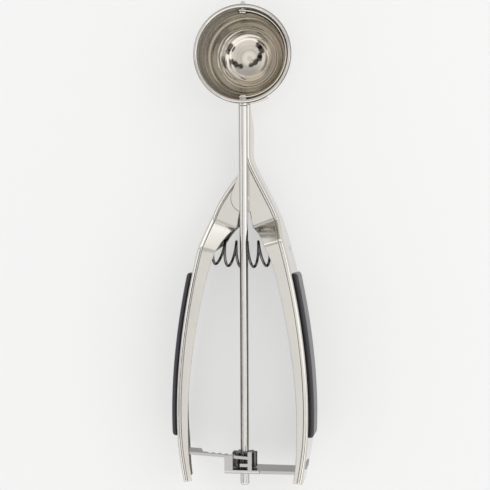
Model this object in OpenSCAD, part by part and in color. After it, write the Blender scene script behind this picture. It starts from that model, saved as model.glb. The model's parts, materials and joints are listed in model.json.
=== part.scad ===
// Squeeze-handle cookie scoop with a rack-and-pinion wiper, in millimetres.
// Shapes are drawn in the scoop's own frame: the rod's axis is y, the bowl's centre is 0,
// the bowl opens towards +z and the handles lie on the -y side. placed() then puts the
// origin under the middle of the scoop, on the plane that the bowl rests on.

/* [Bowl] */
// Inside radius of the bowl
bowl_r = 18.9; // [16:0.1:26]
// Sheet thickness of the bowl
bowl_wall = 0.8; // [0.5:0.05:1.2]
// Height of the rim's top above the wiper's axis
rim_rise = 3.6; // [3.3:0.1:6]
// Radius of the rolled bead round the rim
bead_r = 0.75; // [0.5:0.05:0.9]

/* [Saddle and neck] */
// Thickness of the saddle plate welded to the bowl
saddle_t = 0.9; // [0.6:0.05:1.5]
// Angle that the saddle covers round the bowl
saddle_angle = 58; // [30:1:90]
// Depth of the saddle below the rod's axis
saddle_drop = 5.5; // [4.5:0.1:8]
// Height of the saddle above the rod's axis
saddle_rise = 1.3; // [0.6:0.1:1.8]
// Width of the neck's front face
neck_w = 4.9; // [4:0.1:6.5]
// Length of the neck from the saddle to where the arm flares out
neck_len = 21.4; // [16:0.1:32]
// Part of the neck over which it deepens from the saddle
neck_taper = 10.5; // [6:0.5:14]
// Depth of the neck's front face below the rod's axis
neck_drop = 2.2; // [2.1:0.05:3]

/* [Handle arms] */
// Sheet thickness of both arms
sheet = 0.9; // [0.7:0.05:1.1]
// Outside radius of the channel's bends
bend_r = 1.8; // [1.3:0.1:2.4]
// Height of the arms' front face above the rod's axis
handle_front = 8.4; // [7.9:0.1:10]
// Depth of the arms' back face below the rod's axis
handle_back = 15.4; // [15:0.1:18]
// Distance from the flare to the pivot that the moving arm turns on
flare_to_pivot = 18; // [16:0.5:22]
// Distance from the pivot to the crease where the front flanges step up
pivot_to_fork = 8; // [7.5:0.5:10]
// Part of the handle's length above its widest place
widest_share = 0.742; // [0.7:0.002:0.78]
// Distance from the grips' lower ends to the ends of the arms
grip_to_end = 19.3; // [17:0.1:25]
// Length of the front face's ramp on the fixed arm, along the rod
fixed_ramp = 9.4; // [8:0.1:12]
// Length of the same ramp on the moving arm
moving_ramp = 12.5; // [10:0.1:14]
// Length that the back flanges keep their width below the crease
web_len = 8; // [5:0.5:10]
// Width left of the back flange at the grips, a short lip inside the wall
back_lip = 1.1; // [1.05:0.05:3]
// Half width over the arms at the crease
fork_half = 14.4; // [13:0.1:16]
// Half width over the arms at the widest place
handle_half = 27.8; // [25:0.1:31]
// Half width over the arms at their ends
end_half = 25; // [22:0.1:27]
// Width of both flanges at the crease
flange_fork = 11.8; // [10.5:0.1:12.4]
// Width of the front flange at the top of the grips
flange_top = 6.5; // [5.5:0.1:8]
// Width of the front flange at the widest place
flange_mid = 5; // [4:0.1:6]
// Width of the front flange at the ends
flange_end = 3.8; // [2.8:0.1:4.5]
// How far the back face rises at the ends of the arms
end_rise = 6; // [0:0.5:8]

/* [Pivot] */
// Radius of the rivet that both arms share
rivet_r = 1.5; // [1.2:0.1:1.9]
// Radius of the ears round the rivet
ear_r = 6; // [5:0.1:7]
// Gap between the ears of the two arms
ear_gap = 0.15; // [0.1:0.01:0.25]
// Radial clearance of every turning pin and shaft
running = 0.05; // [0.02:0.01:0.08]

/* [Rod] */
// Radius of the long rod
rod_r = 1.75; // [1.5:0.05:1.9]
// Radius of its journal at the bowl
journal_r = 1.3; // [1.1:0.05:1.4]
// Radius of its journal at the gear carrier
tail_r = 1.2; // [1:0.05:1.3]
// Radius of the cap pressed on the tail
cap_r = 1.8; // [1.6:0.05:2.4]
// Length of that cap
cap_len = 5.7; // [3:0.1:8]

/* [Wiper] */
// Thickness of the wiper blade
blade_t = 0.5; // [0.4:0.05:0.8]
// Width of the blade at its middle
blade_w = 8.5; // [6:0.1:9.5]
// Width of the blade at its eyes
eye_w = 4.8; // [4.2:0.1:5.5]
// Gap from the blade's corners to the bowl
blade_gap = 0.3; // [0.2:0.05:0.5]
// Angle of the resting blade below the rim plane
blade_rest = 8; // [7:1:12]

/* [Gear and rack] */
// Module of the teeth
tooth_module = 0.9; // [0.85:0.01:0.95]
// Number of teeth on the pinion
pinion_teeth = 10; // [9:1:11]
// Pressure angle of the teeth
pressure = 25; // [24:1:27]
// Play of a tooth in its gap
backlash = 0.2; // [0.1:0.02:0.3]
// Length of the pinion along the rod
pinion_len = 6.3; // [5:0.1:8]
// Thickness of the rack strip
rack_t = 1.2; // [0.9:0.1:1.6]
// Slope of the rack strip across the handle
rack_slope = 4; // [0:0.5:6]
// Distance from the pinion's lower face to the ends of the arms
pinion_to_end = 5.7; // [5:0.1:8]
// Height of the rack's wide part below the rack's front edge
rack_drop = 9.7; // [6:0.1:12]
// Angle that the wiper turns through
wiper_turn = 162; // [150:1:165]
// Depth of the carrier plate below the rod's axis
carrier_drop = 8.6; // [6:0.1:10]
// Thickness of the carrier's sheet
carrier_t = 1.3; // [1:0.1:1.6]
// Length of the carrier's and the rack's feet on the arms' walls
foot_len = 6.4; // [5.6:0.1:7]

/* [Spring] */
// Mean radius of the spring's curls
coil_r = 5.3; // [4.6:0.1:5.4]
// Diameter of the spring's wire
wire_d = 1.15; // [0.9:0.05:1.3]
// Number of curls
coils = 8; // [6:1:9]
// Distance from the crease to the spring's seats, along the rod
fork_to_spring = 13.2; // [12.8:0.1:18]

/* [Grips] */
// Thickness of the soft grips
grip_t = 2.2; // [1.6:0.1:3.5]
// Width of the grips across the arm
grip_w = 15; // [11:0.5:17]
// Distance from the crease to the grips' top ends, along the rod
fork_to_grip = 23.2; // [22:0.1:27]
// Length of the grips, along the rod
grip_len = 68; // [50:0.5:69]

/* [Hidden] */
$fn = 96;

seat_gap = 0.03;
bowl_out = bowl_r + bowl_wall;
bead_z = rim_rise - bead_r;

// Places along the rod, as distances from the bowl's centre
neck_start = bowl_out + seat_gap + saddle_t + seat_gap;
flare_y = neck_start + neck_len;
pivot_y = flare_y + flare_to_pivot;
fork_y = pivot_y + pivot_to_fork;
handle_len = fork_to_grip + grip_len + grip_to_end;
widest_y = fork_y + widest_share * handle_len;
end_y = fork_y + handle_len;
pinion_low = end_y - pinion_to_end;
pinion_high = pinion_low - pinion_len;
washer_t = 0.35;
carrier_y = pinion_low + washer_t + 2 * running;
carrier_low = carrier_y + carrier_t;
cap_start = carrier_low + 3 * running;
cap_end = cap_start + cap_len;

// The far pin's parts outside the bowl
pin_r = 1;
pin_collar_r = 1.7;
pin_collar_t = 0.9;
pin_nub = 1.4;
pin_end = bowl_out + pin_collar_t + pin_nub;

mid_y = (cap_end - pin_end) / 2;
module placed() { translate([0, mid_y, bowl_out]) children(); }

// Small vector tools
function unit(v) = v / norm(v);
function flat(l) = [for (a = l) for (b = a) b];
function bezier(p, t) = pow(1 - t, 3) * p[0] + 3 * pow(1 - t, 2) * t * p[1]
    + 3 * (1 - t) * t * t * p[2] + pow(t, 3) * p[3];
function slope_of(p, t) = unit(pow(1 - t, 2) * (p[1] - p[0]) + 2 * (1 - t) * t * (p[2] - p[1])
    + t * t * (p[3] - p[2]));
function mix(a, b, t) = a + (b - a) * t;
function ease(t) = t * t * (3 - 2 * t);

// The arms' outer wall in plan, on the +x side. The upper arm differs between the two arms
// and the handle below the crease is the same for both.
neck_half = neck_w / 2;
flare_lead = 4;
fork_lead = [4.2, 10.5];
fixed_upper = [[neck_half, -flare_y], [neck_half, -flare_y - flare_lead],
    [fork_half - fork_lead.x, -fork_y + fork_lead.y], [fork_half, -fork_y]];
moving_top_x = 0.4;
moving_top_rise = 13.5;
moving_top_lead = [3.6, -5];
moving_top = [moving_top_x, -pivot_y + moving_top_rise];
moving_upper = [moving_top, moving_top + moving_top_lead,
    [fork_half - fork_lead.x, -fork_y + fork_lead.y], [fork_half, -fork_y]];
below_fork = [4.9, -0.11 * handle_len];
above_widest = 0.305 * handle_len;
below_widest = 0.12 * handle_len;
above_end = [1.5, 0.08 * handle_len];
handle_upper = [[fork_half, -fork_y], [fork_half, -fork_y] + below_fork,
    [handle_half, -widest_y + above_widest], [handle_half, -widest_y]];
handle_lower = [[handle_half, -widest_y], [handle_half, -widest_y - below_widest],
    [end_half, -end_y] + above_end, [end_half, -end_y]];

// A place on the handle's outer wall: u is 0 at the crease, 1 at the widest place, 2 at the end
function wall_at(u) = u <= 1 ? bezier(handle_upper, u) : bezier(handle_lower, u - 1);
function wall_run(u) = u <= 1 ? slope_of(handle_upper, u) : slope_of(handle_lower, u - 1);
function inward(u) = let (d = wall_run(u)) [d.y, -d.x];

// The place on the wall that lies a distance y down the rod
function wall_u(y, low = 0, high = 2) = let (m = (low + high) / 2)
    high - low < 1e-5 ? m : -wall_at(m).y < y ? wall_u(y, m, high) : wall_u(y, low, m);
function wall_turn(u) = let (n = inward(u)) atan2(n.y, n.x);

// Puts children on the wall at u and height z, with their +z pointing into the channel
module on_wall(u, z) {
    p = wall_at(u);
    translate([p.x, p.y, z]) rotate([0, 90, wall_turn(u)]) children();
}

// The flange narrows quickly below the crease and then slowly to the end
narrow_u = 0.45;
function flange_at(u) =
    u < narrow_u ? mix(flange_top, flange_fork, pow(1 - u / narrow_u, 2))
    : u <= 1 ? mix(flange_top, flange_mid, (u - narrow_u) / (1 - narrow_u))
    : mix(flange_mid, flange_end, ease(u - 1));

// The back flange keeps the front's width on the web below the crease, then shrinks to a lip
web_fade = 12;
function part_of(a, b, x) = min(1, max(0, (x - a) / (b - a)));
function lip_at(u) = let (down = -wall_at(u).y - fork_y)
    mix(flange_at(u), back_lip, ease(part_of(web_len, web_len + web_fade, down)));

// Below the crease both faces reach the handle's own levels over a straight ramp
function level(u, ramp, from, to) = mix(from, to, part_of(0, ramp, -wall_at(u).y - fork_y));
back_u = 1.35;
function back_at(u) = u < back_u ? -handle_back
    : -handle_back + end_rise * ease((u - back_u) / (2 - back_u));

// The ear's free edge, seen from the arm's own side: down past the neck, round the rivet
// and on to the crease
ear_centre = [0, -pivot_y];
crease_end = wall_at(0) + flange_fork * inward(0);
function ear_point(a) = ear_centre + ear_r * [cos(a), sin(a)];
ear_from = 162;
ear_to = 292;
function ear_edge(start, t) =
    t < 0.2 ? start[0] + (start[1] - start[0]) * t / 0.2
    : t < 0.4 ? start[1] + (ear_point(ear_from) - start[1]) * (t - 0.2) / 0.2
    : t < 0.85 ? ear_point(mix(ear_from, ear_to, (t - 0.4) / 0.45))
    : ear_point(ear_to) + (crease_end - ear_point(ear_to)) * (t - 0.85) / 0.15;

// One cross-section of the channel: from the outer wall at o to the front flange's free edge
// at e, with a back flange that is lip wide
bend_steps = 4;
function bend_arc(c, r, from, to) = [for (i = [0:bend_steps])
    let (a = mix(from, to, i / bend_steps)) c + r * [cos(a), sin(a)]];
function bend_of(w, depth) = min(bend_r, 0.6 * w, 0.45 * depth);
function inside_of(r) = max(r - sheet, 0.1);
function channel(o, e, front, back, lip) =
    let (w = norm(e - o), d = (e - o) / w, b = min(w, lip),
         r = bend_of(w, front - back), s = bend_of(b, front - back),
         outer = concat([[w, front]], bend_arc([r, front - r], r, 90, 180),
                        bend_arc([s, back + s], s, 180, 270), [[b, back]]),
         ri = inside_of(r), si = inside_of(s), ci = sheet + ri, di = sheet + si,
         inner = concat([[b, back + sheet]], bend_arc([di, back + di], si, 270, 180),
                        bend_arc([ci, front - ci], ri, 180, 90), [[w, front - sheet]]))
    [for (p = concat(outer, inner)) [o.x + d.x * p.x, o.y + d.y * p.x, p.y]];

// A skin over rings of equal length. The cap lists triangles of one ring.
module loft(rings, cap) {
    n = len(rings[0]);
    top = (len(rings) - 1) * n;
    sides = [for (i = [0:len(rings) - 2], j = [0:n - 1])
        let (a = i * n + j, b = i * n + (j + 1) % n) each [[a, b + n, b], [a, a + n, b + n]]];
    caps = [for (t = cap) each [t, [t[2] + top, t[1] + top, t[0] + top]]];
    polyhedron(flat(rings), concat(sides, caps));
}
function paired_cap(n) = [for (i = [0:n / 2 - 2])
    each [[i, i + 1, n - 2 - i], [i, n - 2 - i, n - 1 - i]]];
function fan_cap(n) = [for (i = [1:n - 2]) [0, i, i + 1]];

web_end = web_len + web_fade;
web_u = wall_u(fork_y + web_end);
function handle_steps(ramp) = concat([for (i = [1:4]) wall_u(fork_y + ramp * i / 4)],
    [for (i = [1:4]) wall_u(fork_y + mix(ramp, web_end, i / 4))],
    [for (i = [1:12]) mix(web_u, 1, i / 12)], [for (i = [1:8]) 1 + i / 8]);
upper_steps = 14;

// The handle's sections below the crease, with the step from the ears' own levels
function handle_rings(ramp, from_front, from_back) = [for (u = handle_steps(ramp))
    channel(wall_at(u), wall_at(u) + flange_at(u) * inward(u),
        level(u, ramp, from_front, handle_front), level(u, ramp, from_back, back_at(u)), lip_at(u))];

ear_front = -neck_drop;
ear_back = -handle_back;
wide = 4 * fork_half;
edge_drop = 7.5;
fixed_edge = [[-neck_half, -flare_y], [-neck_half, -flare_y - edge_drop]];
function neck_back(y) = mix(-saddle_drop, ear_back, ease(min(1, (y - neck_start) / neck_taper)));
function fixed_rings() = concat(
    [for (i = [0:6]) let (y = neck_start + neck_taper * i / 6)
        channel([neck_half, -y], [-neck_half, -y], ear_front, neck_back(y), neck_w)],
    [for (i = [0:upper_steps]) let (t = i / upper_steps)
        channel(bezier(fixed_upper, t), ear_edge(fixed_edge, t), ear_front, ear_back, wide)],
    handle_rings(fixed_ramp, ear_front, ear_back));

inner_front = ear_front - sheet - ear_gap;
inner_back = ear_back + sheet + ear_gap;
moving_edge = [moving_top + [-1.5, -0.8], moving_top + [-1.5, -3.4]];
function moving_rings() = concat(
    [for (i = [0:upper_steps]) let (t = i / upper_steps)
        channel(bezier(moving_upper, t), ear_edge(moving_edge, t), inner_front, inner_back, wide)],
    handle_rings(moving_ramp, inner_front, inner_back));

// Rivets, studs and their holes in the arms' walls
seat_u = wall_u(fork_y + fork_to_spring);
spring_z = ear_front - coil_r - wire_d / 2 - 0.25;
grip_start = fork_y + fork_to_grip;
stud_us = [for (k = [1, 3, 5]) wall_u(grip_start + grip_len * k / 6)];
stud_r = 1.4;
grip_below_front = 1.9;
grip_z = handle_front - grip_below_front - grip_w / 2;
seat_stem_r = 1.2;
foot_t = 1.2;
foot_in = sheet + seat_gap;
foot_top = handle_front - bend_r - 0.2;
small_rivet_r = 1.1;

// The rack crosses the pinion near its upper end, and its teeth lie on a circle round the pivot
pitch_r = tooth_module * pinion_teeth / 2;
tooth_h = tooth_module * 0.9;
root_gap = 0.2;
rack_y = pinion_high + 1.5;
rack_reach = rack_y - pivot_y;
gear_ratio = rack_reach / pitch_r;
swing = wiper_turn / gear_ratio;
rack_foot_y = rack_y - (handle_half - 2) * tan(rack_slope) + rack_t / 2;
rack_foot = [wall_u(rack_foot_y - foot_len), wall_u(rack_foot_y)];
rack_foot_low = -3;
rack_rivet_zs = [3.7, -0.8];
carrier_foot = [wall_u(carrier_low - foot_len), wall_u(carrier_low)];
carrier_foot_low = -7;
carrier_rivet_zs = [2.4, -3.4];
function middle(us) = (us[0] + us[1]) / 2;

module wall_holes(rivet_u, rivet_zs) {
    for (u = stud_us) on_wall(u, grip_z) translate([0, 0, -1]) cylinder(r = stud_r, h = 4);
    for (z = rivet_zs) on_wall(rivet_u, z) translate([0, 0, -1]) cylinder(r = small_rivet_r, h = 4);
    on_wall(seat_u, spring_z) translate([0, 0, -1]) cylinder(r = seat_stem_r, h = 4);
}

sink_r = 2;
module fixed_arm() {
    n = len(fixed_rings()[0]);
    color("#d9d6cf") difference() {
        loft(fixed_rings(), paired_cap(n));
        translate([0, -pivot_y, ear_back - 1]) cylinder(r = rivet_r, h = handle_back);
        translate([0, -pivot_y, ear_front - sheet]) cylinder(r1 = rivet_r, r2 = sink_r, h = sheet);
        translate([0, -pivot_y, ear_front]) cylinder(r = sink_r, h = 1);
        translate([0, -pivot_y, ear_back]) cylinder(r1 = sink_r, r2 = rivet_r, h = sheet);
        translate([0, -pivot_y, ear_back - 1]) cylinder(r = sink_r, h = 1);
        wall_holes(middle(carrier_foot), carrier_rivet_zs);
    }
}

module moving_arm() {
    n = len(moving_rings()[0]);
    color("#d9d6cf") mirror([1, 0, 0]) difference() {
        loft(moving_rings(), paired_cap(n));
        translate([0, -pivot_y, ear_back - 1]) cylinder(r = rivet_r + running, h = handle_back);
        wall_holes(middle(rack_foot), rack_rivet_zs);
    }
}

// A soft pad that follows the arm's wall, with studs through the wall. Its ends are blunt.
grip_round = 1.6;
grip_places = concat([0, 1, grip_round], [for (i = [1:13]) mix(grip_round, grip_len - grip_round, i / 13)],
    [grip_len - 1, grip_len]);
function grip_swell(d) = let (near = min(d, grip_len - d, grip_round) / grip_round)
    0.7 + 0.3 * sqrt(near * (2 - near));
crown_steps = 10;
function grip_ring(d) = let (u = wall_u(grip_start + d), p = wall_at(u), n = inward(u),
        k = grip_swell(d))
    concat([for (s = [1, -1]) [p.x - n.x * seat_gap * 2, p.y - n.y * seat_gap * 2,
                               grip_z + s * grip_w / 2 * (0.9 + 0.1 * k)]],
    [for (i = [0:crown_steps]) let (c = 2 * i / crown_steps - 1,
        h = grip_t * k * (0.6 + 0.4 * sqrt(1 - pow(abs(c), 7))))
        [p.x - n.x * h, p.y - n.y * h, grip_z + c * grip_w / 2 * (0.9 + 0.1 * k)]]);
module grip() {
    rings = [for (d = grip_places) grip_ring(d)];
    union() {
        loft(rings, fan_cap(len(rings[0])));
        for (u = stud_us) on_wall(u, grip_z) {
            translate([0, 0, -grip_t / 2]) cylinder(r = stud_r, h = grip_t / 2 + sheet + 0.5);
            translate([0, 0, sheet + seat_gap]) cylinder(r1 = stud_r + 0.9, r2 = stud_r, h = 1.2);
        }
    }
}
module fixed_grip() { color("#3a383c") grip(); }
module moving_grip() { color("#3a383c") mirror([1, 0, 0]) grip(); }

// Spun half-sphere with a straight band and a rolled rim, pierced for the rod and the far pin
bush_r = 1.9;
module bowl() {
    color("#cfc8bb") difference() {
        union() {
            difference() {
                sphere(r = bowl_out);
                sphere(r = bowl_r);
                translate([-bowl_out, -bowl_out, 0] * 2) cube(bowl_out * 4);
            }
            difference() {
                cylinder(r = bowl_out, h = bead_z);
                translate([0, 0, -1]) cylinder(r = bowl_r, h = bead_z + 2);
            }
            rotate_extrude() translate([bowl_r + bead_r + 0.15, bead_z]) circle(r = bead_r);
        }
        rotate([90, 0, 0]) cylinder(r = bush_r, h = bowl_out + 1);
        rotate([-90, 0, 0]) cylinder(r = pin_r, h = bowl_out + 1);
    }
}

// Flared plate at the top of the neck, notched for the rod's bush
module bowl_saddle() {
    r = bowl_out + seat_gap;
    color("#d9d6cf") difference() {
        rotate([0, 0, -90 - saddle_angle / 2]) rotate_extrude(angle = saddle_angle)
            translate([r, -saddle_drop]) square([saddle_t, saddle_drop + saddle_rise]);
        rotate([90, 0, 0]) cylinder(r = bush_r, h = r + saddle_t + 1);
    }
}

// The rod turns in this flanged sleeve
blade_out = sqrt(pow(bowl_r - blade_gap, 2) - pow(blade_w / 2, 2));
eye_out = blade_out;
flange_start = eye_out + 0.1;
bush_out = 0.6;
bush_len = neck_start + bush_out - flange_start;
module rod_bush() {
    color("#c8c8c8") rotate([90, 0, 0]) difference() {
        union() {
            translate([0, 0, flange_start]) cylinder(r = bush_r, h = bush_len);
            translate([0, 0, flange_start]) cylinder(r = bush_r + 0.6, h = 0.3);
        }
        translate([0, 0, flange_start - 1]) cylinder(r = journal_r + running, h = bush_len + 2);
    }
}

// A stepped pin riveted in the bowl's far wall, which the blade's eye turns on
eye_in = eye_out - blade_t;
module far_pivot_pin() {
    color("#c8c8c8") rotate([-90, 0, 0]) union() {
        translate([0, 0, eye_in - 0.75]) cylinder(r = 1.8, h = 0.65);
        translate([0, 0, eye_in - 0.4]) cylinder(r = pin_r, h = pin_end - pin_nub - eye_in + 0.4);
        translate([0, 0, flange_start]) cylinder(r = 2, h = 0.3);
        translate([0, 0, bowl_out + seat_gap]) cylinder(r = pin_collar_r, h = pin_collar_t - seat_gap);
        translate([0, 0, bowl_out + pin_collar_t]) cylinder(r1 = 1.1, r2 = 0.7, h = pin_nub);
    }
}

// Rivet through the four ears, flush with the fixed arm at both ends
module pivot_rivet() {
    color("#c4c2bd") translate([0, -pivot_y, 0]) union() {
        translate([0, 0, ear_back]) cylinder(r = rivet_r, h = handle_back - neck_drop);
        translate([0, 0, ear_front - sheet]) cylinder(r1 = rivet_r, r2 = sink_r, h = sheet);
        translate([0, 0, ear_back]) cylinder(r1 = sink_r, r2 = rivet_r, h = sheet);
    }
}

// Keeps the moving ears apart inside the fork
pivot_washer_r = rivet_r + 1.5;
module pivot_washer() {
    color("#a9a7a2") translate([0, -pivot_y, inner_back + sheet + running]) difference() {
        cylinder(r = pivot_washer_r, h = 0.6);
        translate([0, 0, -1]) cylinder(r = rivet_r + running, h = 3);
    }
}

// The compression spring runs on an arc that meets both walls square
seat_normal = inward(seat_u);
spring_lean = -asin(seat_normal.y);
spring_start = wall_at(seat_u) + (sheet + 0.3 + wire_d / 2) * seat_normal;
arc_r = spring_start.x / sin(spring_lean);
arc_y = spring_start.y + arc_r * cos(spring_lean);
rings_per_curl = 12;
wire_sides = 6;
spring_len = 2 * arc_r * spring_lean * PI / 180;
end_pitch = wire_d + 0.55;
mid_pitch = (spring_len - 2 * end_pitch) / (coils - 2);
function along(n) = n < 1 ? n * end_pitch
    : n > coils - 1 ? spring_len - (coils - n) * end_pitch
    : end_pitch + (n - 1) * mid_pitch;
function coil_point(n, r) = let (a = spring_lean - along(n) / arc_r * 180 / PI,
        w = 360 * n + spring_phase)
    [(arc_r + r * cos(w)) * sin(a), arc_y - (arc_r + r * cos(w)) * cos(a), spring_z + r * sin(w)];
spring_phase = 200;
coil_turns = [for (i = [0:coils * rings_per_curl]) i / rings_per_curl];
function wire_ring(n) = let (c = coil_point(n, coil_r),
        run = unit(coil_point(n + 0.01, coil_r) - coil_point(n - 0.01, coil_r)),
        out = unit(coil_point(n, coil_r + 1) - c), side = cross(run, out))
    [for (k = [0:wire_sides - 1]) let (w = 360 * k / wire_sides)
        c + wire_d / 2 * (cos(w) * out + sin(w) * side)];
spring_gap = min([for (i = coil_turns, j = coil_turns) if (j - i > 0.6 && j - i < 1.6)
    norm(coil_point(i, coil_r) - coil_point(j, coil_r))]) - wire_d;
module return_spring() {
    echo(spring_least_gap = spring_gap);
    color("#8d8a84") loft([for (n = coil_turns) wire_ring(n)], fan_cap(wire_sides));
}

// Round buttons that the spring's ends sit over, each with a stem through the wall
seat_r = coil_r - wire_d / 2 - 0.45;
module spring_seat() {
    on_wall(seat_u, spring_z) {
        cylinder(r = seat_stem_r, h = sheet + 0.5);
        translate([0, 0, sheet + 0.05]) cylinder(r = seat_r, h = 1.3);
        translate([0, 0, sheet + 1.35]) cylinder(r1 = seat_r, r2 = seat_r - 0.8, h = 0.8);
    }
}
module fixed_spring_seat() { color("#b9b7b2") spring_seat(); }
module moving_spring_seat() { color("#b9b7b2") mirror([1, 0, 0]) spring_seat(); }

// The long rod, with a journal and riveted end in the bowl and a journal in the carrier
rod_start = neck_start + bush_out + 0.3;
rod_head_r = [journal_r + 0.3, journal_r + 0.7];
rod_head_t = 0.6;
module rod() {
    color("#d6d3cc") rotate([90, 0, 0]) union() {
        translate([0, 0, eye_in - rod_head_t])
            cylinder(r1 = rod_head_r[0], r2 = rod_head_r[1], h = rod_head_t);
        translate([0, 0, eye_in - rod_head_t / 2])
            cylinder(r = journal_r, h = rod_start - eye_in + rod_head_t);
        translate([0, 0, rod_start]) cylinder(r = rod_r, h = pinion_low - rod_start);
        translate([0, 0, pinion_low - 1]) cylinder(r = tail_r, h = cap_end - pinion_low);
    }
}

// Involute pinion
base_r = pitch_r * cos(pressure);
function involute(a) = tan(a) - a * PI / 180;
function half_tooth(r) = 90 / pinion_teeth - backlash / 4 / pitch_r * 180 / PI
    + (involute(pressure) - involute(acos(min(1, base_r / r)))) * 180 / PI;
flank_rs = [for (i = [0:4]) mix(base_r, pitch_r + tooth_h, i / 4)];
function polar(r, a) = r * [cos(a), sin(a)];
pinion_outline = [for (k = [0:pinion_teeth - 1]) let (c = 90 + 360 * k / pinion_teeth)
    each concat([polar(pitch_r - tooth_h - root_gap, c - half_tooth(base_r))],
                [for (r = flank_rs) polar(r, c - half_tooth(r))],
                [for (i = [4:-1:0]) polar(flank_rs[i], c + half_tooth(flank_rs[i]))],
                [polar(pitch_r - tooth_h - root_gap, c + half_tooth(base_r))])];
module pinion() {
    color("#a9a7a2") translate([0, -pinion_high, 0]) rotate([90, 0, 0]) difference() {
        linear_extrude(pinion_len) polygon(pinion_outline);
        translate([0, 0, -1]) cylinder(r = rod_r, h = pinion_len + 2);
    }
}

thrust_washer_r = tail_r + 1.8;
module thrust_washer() {
    color("#a9a7a2") translate([0, -pinion_low - running, 0]) rotate([90, 0, 0]) difference() {
        cylinder(r = thrust_washer_r, h = washer_t);
        translate([0, 0, -1]) cylinder(r = tail_r + running, h = 2);
    }
}

module rod_end_cap() {
    color("#d6d3cc") translate([0, -cap_start, 0]) rotate([90, 0, 0]) difference() {
        union() {
            cylinder(r = cap_r, h = cap_len - 0.5);
            translate([0, 0, cap_len - 0.5]) cylinder(r1 = cap_r, r2 = cap_r - 0.5, h = 0.5);
        }
        translate([0, 0, -1]) cylinder(r = tail_r, h = cap_len);
    }
}

// Half-ring strip with an eye at each end, turned to where it rests
blade_in = blade_out - blade_t;
taper_r = (pow(blade_out, 2) + pow((blade_w - eye_w) / 2, 2)) / (blade_w - eye_w);
module wiper_blade() {
    color("#dcd8d0") rotate([0, blade_rest, 0]) difference() {
        union() {
            intersection() {
                translate([0, 0, -blade_w / 2]) rotate([0, 0, -90]) rotate_extrude(angle = 180)
                    translate([blade_in, 0]) square([blade_t, blade_w]);
                rotate([0, 90, 0]) translate([taper_r - blade_w / 2, 0, -1])
                    cylinder(r = taper_r, h = blade_out + 2);
                rotate([0, 90, 0]) translate([blade_w / 2 - taper_r, 0, -1])
                    cylinder(r = taper_r, h = blade_out + 2);
            }
            for (a = [90, -90]) rotate([a, 0, 0]) translate([0, 0, blade_in])
                cylinder(r = eye_w / 2, h = blade_t);
        }
        rotate([90, 0, 0]) cylinder(r = journal_r, h = blade_out + 1);
        rotate([-90, 0, 0]) cylinder(r = pin_r + running, h = blade_out + 1);
    }
}

// The strip that holds the rod's tail. Its front edge is folded up over the rack: a tab on the
// left, and a hooked finger that keeps the rack's end on the pinion.
rack_web = 1.35;
rack_tips = pitch_r - tooth_h;
rack_top = pitch_r + tooth_h + root_gap + rack_web;
plate_z = rack_top + 0.3;
tab_out = 7.4;
tab_in = 3.9;
lip_out = 7.2;
finger = [2.4, 4.1];
finger_top = pinion_high - 1.2;
hook_left = -0.9;
hook = [pinion_low - 2.6, pinion_low - 1.3];
lip_y = pinion_low + 0.1;
tab_top = pinion_high + 0.3;
fold_in = (carrier_y - lip_y) / 2;
plate_outline = [[-tab_out, -carrier_y], [lip_out, -carrier_y], [lip_out, -lip_y],
    [finger[1], -lip_y], [finger[1], -finger_top], [finger[0], -finger_top],
    [finger[0], -hook[0]], [hook_left, -hook[0]], [hook_left, -hook[1]], [finger[0], -hook[1]],
    [finger[0], -lip_y], [-tab_in, -lip_y], [-tab_in, -tab_top], [-tab_out, -tab_top]];
carrier_end = wall_at(carrier_foot[1]).x - foot_in - foot_t / 2;
under_flange = handle_front - sheet - 0.35;
carrier_outline = [[-tab_out, -carrier_drop + 2], [-tab_out + 2, -carrier_drop],
    [carrier_end, carrier_foot_low], [carrier_end, foot_top], [carrier_end - 2.4, under_flange],
    [lip_out, under_flange], [lip_out, plate_z], [-tab_out, plate_z]];

// A strip of sheet that lies on the inside of the arm's wall
module wall_foot(us, low) {
    steps = 5;
    places = [for (i = [0:steps]) mix(us[0], us[1], i / steps)];
    back_places = [for (i = [steps:-1:0]) places[i]];
    translate([0, 0, low]) linear_extrude(foot_top - low) polygon(concat(
        [for (u = places) wall_at(u) + foot_in * inward(u)],
        [for (u = back_places) wall_at(u) + (foot_in + foot_t) * inward(u)]));
}

module foot_rivet_holes(us, zs) {
    for (z = zs) on_wall(middle(us), z) cylinder(r = small_rivet_r, h = 5);
}

// The fold seen from its end: a quarter circle, let into the strip below it and the plate beside it
module fold_section() {
    intersection() {
        circle(r = carrier_t);
        translate([-carrier_t, 0]) square(carrier_t);
    }
    translate([-carrier_t, -fold_in]) square([carrier_t, fold_in]);
    square([fold_in, carrier_t]);
}

module gear_carrier() {
    color("#c9c6bf") difference() {
        union() {
            translate([0, -carrier_y, 0]) rotate([90, 0, 0]) linear_extrude(carrier_t)
                polygon(carrier_outline);
            translate([-tab_out, -carrier_y, plate_z]) rotate([90, 0, 90])
                linear_extrude(tab_out + lip_out) fold_section();
            translate([0, 0, plate_z]) linear_extrude(carrier_t) polygon(plate_outline);
            wall_foot(carrier_foot, carrier_foot_low);
        }
        translate([0, -carrier_y + 1, 0]) rotate([90, 0, 0]) cylinder(r = tail_r + running, h = 5);
        foot_rivet_holes(carrier_foot, carrier_rivet_zs);
    }
}

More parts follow.
